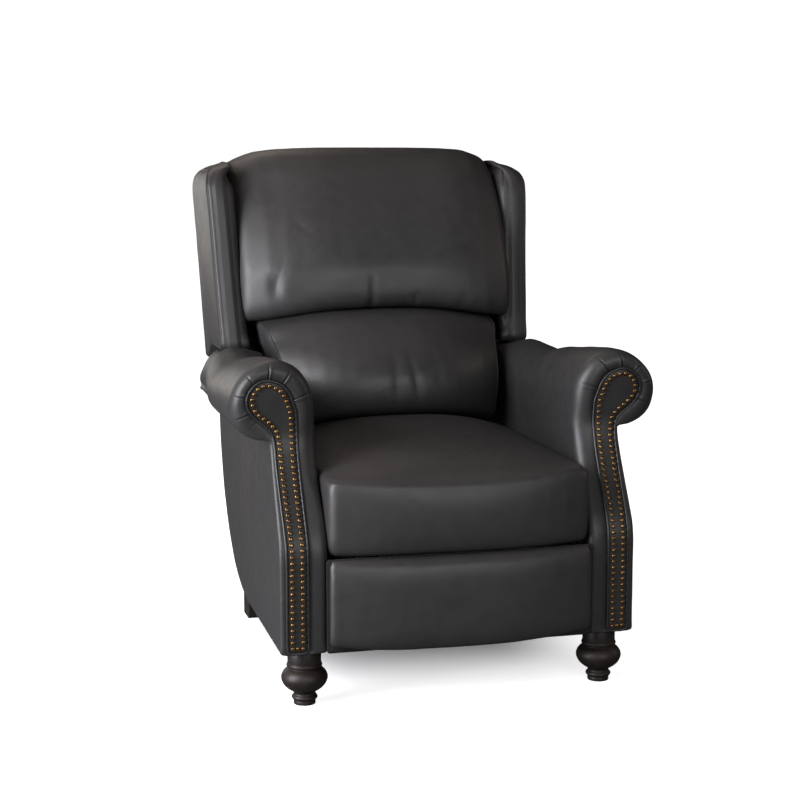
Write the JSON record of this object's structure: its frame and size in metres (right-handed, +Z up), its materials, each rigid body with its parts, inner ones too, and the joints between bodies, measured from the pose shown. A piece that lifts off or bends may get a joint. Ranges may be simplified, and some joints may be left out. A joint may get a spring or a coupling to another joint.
{
  "type": "wingback recliner",
  "caption": "High-leg wingback reclining armchair in dark leather with rolled arms, brass nail trim, bun feet, tilting back and a fold-out footrest on a bar linkage.",
  "frame": {"origin": "on the floor under the middle of the chair's footprint", "axes": "+Z up, -Y towards the sitter's feet, +X to the right when looking from the front along +Y"},
  "size_m": [0.8634, 0.988, 1.05],
  "materials": {
    "leather": "smooth semi-aniline leather with a soft sheen",
    "dark_wood": "espresso stain, satin lacquer",
    "frame_wood": "bare planed hardwood and plywood",
    "steel": "black painted mechanism steel",
    "zinc": "zinc plated tube and spring wire",
    "brass": "antique brass, darkened in the gaps"
  },
  "bodies": {
    "base": {"arm_frame_left": "frame_wood", "arm_frame_right": "frame_wood", "arm_inner_panel_left": "leather", "arm_inner_panel_right": "leather", "arm_outer_panel_left": "leather", "arm_outer_panel_right": "leather", "arm_roll_left": "leather", "arm_roll_right": "leather", "nail_panel_left": "leather", "nail_panel_right": "leather", "nail_strip_left": "brass", "nail_strip_right": "brass", "front_foot_left": "dark_wood", "front_foot_right": "dark_wood", "rear_leg_left": "dark_wood", "rear_leg_right": "dark_wood", "mid_rail": "frame_wood", "rear_rail": "frame_wood", "base_plate_left": "steel", "base_plate_right": "steel"},
    "swing_front": {"swing_link_front_left": "steel", "swing_link_front_right": "steel", "swing_tube_front": "zinc"},
    "swing_rear": {"swing_link_rear_left": "steel", "swing_link_rear_right": "steel", "swing_tube_rear": "zinc"},
    "seat": {"seat_rail_left": "steel", "seat_rail_right": "steel", "seat_frame": "frame_wood", "seat_spring_1": "zinc", "seat_spring_2": "zinc", "seat_spring_3": "zinc", "seat_cushion": "leather"},
    "back": {"back_post_left": "frame_wood", "back_post_right": "frame_wood", "back_rail_top": "frame_wood", "back_rail_middle": "frame_wood", "back_rail_bottom": "frame_wood", "back_spring_1": "zinc", "back_spring_2": "zinc", "back_bracket_left": "steel", "back_bracket_right": "steel", "lumbar_cushion": "leather", "head_pillow": "leather", "wing_left": "leather", "wing_right": "leather", "outside_back": "leather"},
    "footrest_lower": {"footrest_torque_tube": "zinc", "lower_link_left": "steel", "lower_link_right": "steel"},
    "footrest_parallel": {"parallel_link_left": "steel", "parallel_link_right": "steel"},
    "footrest_upper": {"upper_link_left": "steel", "upper_link_right": "steel", "footrest_stabiliser": "zinc"},
    "footrest_board": {"footrest_bracket_left": "steel", "footrest_bracket_right": "steel", "footrest_board": "frame_wood", "footrest_pad": "leather"}
  },
  "joints": [
    {"name": "back_recline", "type": "hinge", "parent": "seat", "child": "back", "pos_m": [0, 0.2505, 0.34], "axis": [-1, 0, 0], "range_deg": [0, 25]},
    {"name": "swing_front", "type": "hinge", "parent": "base", "child": "swing_front", "pos_m": [0, -0.1495, 0.215], "axis": [1, 0, 0], "range_deg": [0, 35]},
    {"name": "seat_carry", "type": "hinge", "parent": "swing_front", "child": "seat", "pos_m": [0, -0.11992, 0.27844], "axis": [1, 0, 0], "range_deg": [-35, 0]},
    {"name": "swing_rear", "type": "hinge", "parent": "base", "child": "swing_rear", "pos_m": [0, 0.1105, 0.215], "axis": [1, 0, 0], "range_deg": [0, 35]},
    {"name": "footrest_extend", "type": "hinge", "parent": "base", "child": "footrest_lower", "pos_m": [0, -0.3095, 0.242], "axis": [-1, 0, 0], "range_deg": [0, 144]},
    {"name": "footrest_parallel_turn", "type": "hinge", "parent": "base", "child": "footrest_parallel", "pos_m": [0, -0.37633, 0.27605], "axis": [-1, 0, 0], "range_deg": [0, 144]},
    {"name": "footrest_upper_turn", "type": "hinge", "parent": "footrest_lower", "child": "footrest_upper", "pos_m": [0, -0.15019, 0.11299], "axis": [-1, 0, 0], "range_deg": [-144, 0]},
    {"name": "footrest_board_turn", "type": "hinge", "parent": "footrest_upper", "child": "footrest_board", "pos_m": [0, -0.4275, 0.148], "axis": [-1, 0, 0], "range_deg": [0, 85]}
  ],
  "couplings": [
    {"joint": "swing_front", "follows": "back_recline", "ratio": 1.4},
    {"joint": "seat_carry", "follows": "back_recline", "ratio": -1.4},
    {"joint": "swing_rear", "follows": "back_recline", "ratio": 1.4},
    {"joint": "footrest_parallel_turn", "follows": "footrest_extend", "ratio": 1},
    {"joint": "footrest_upper_turn", "follows": "footrest_extend", "ratio": -1},
    {"joint": "footrest_board_turn", "follows": "footrest_extend", "ratio": 0.59028}
  ]
}
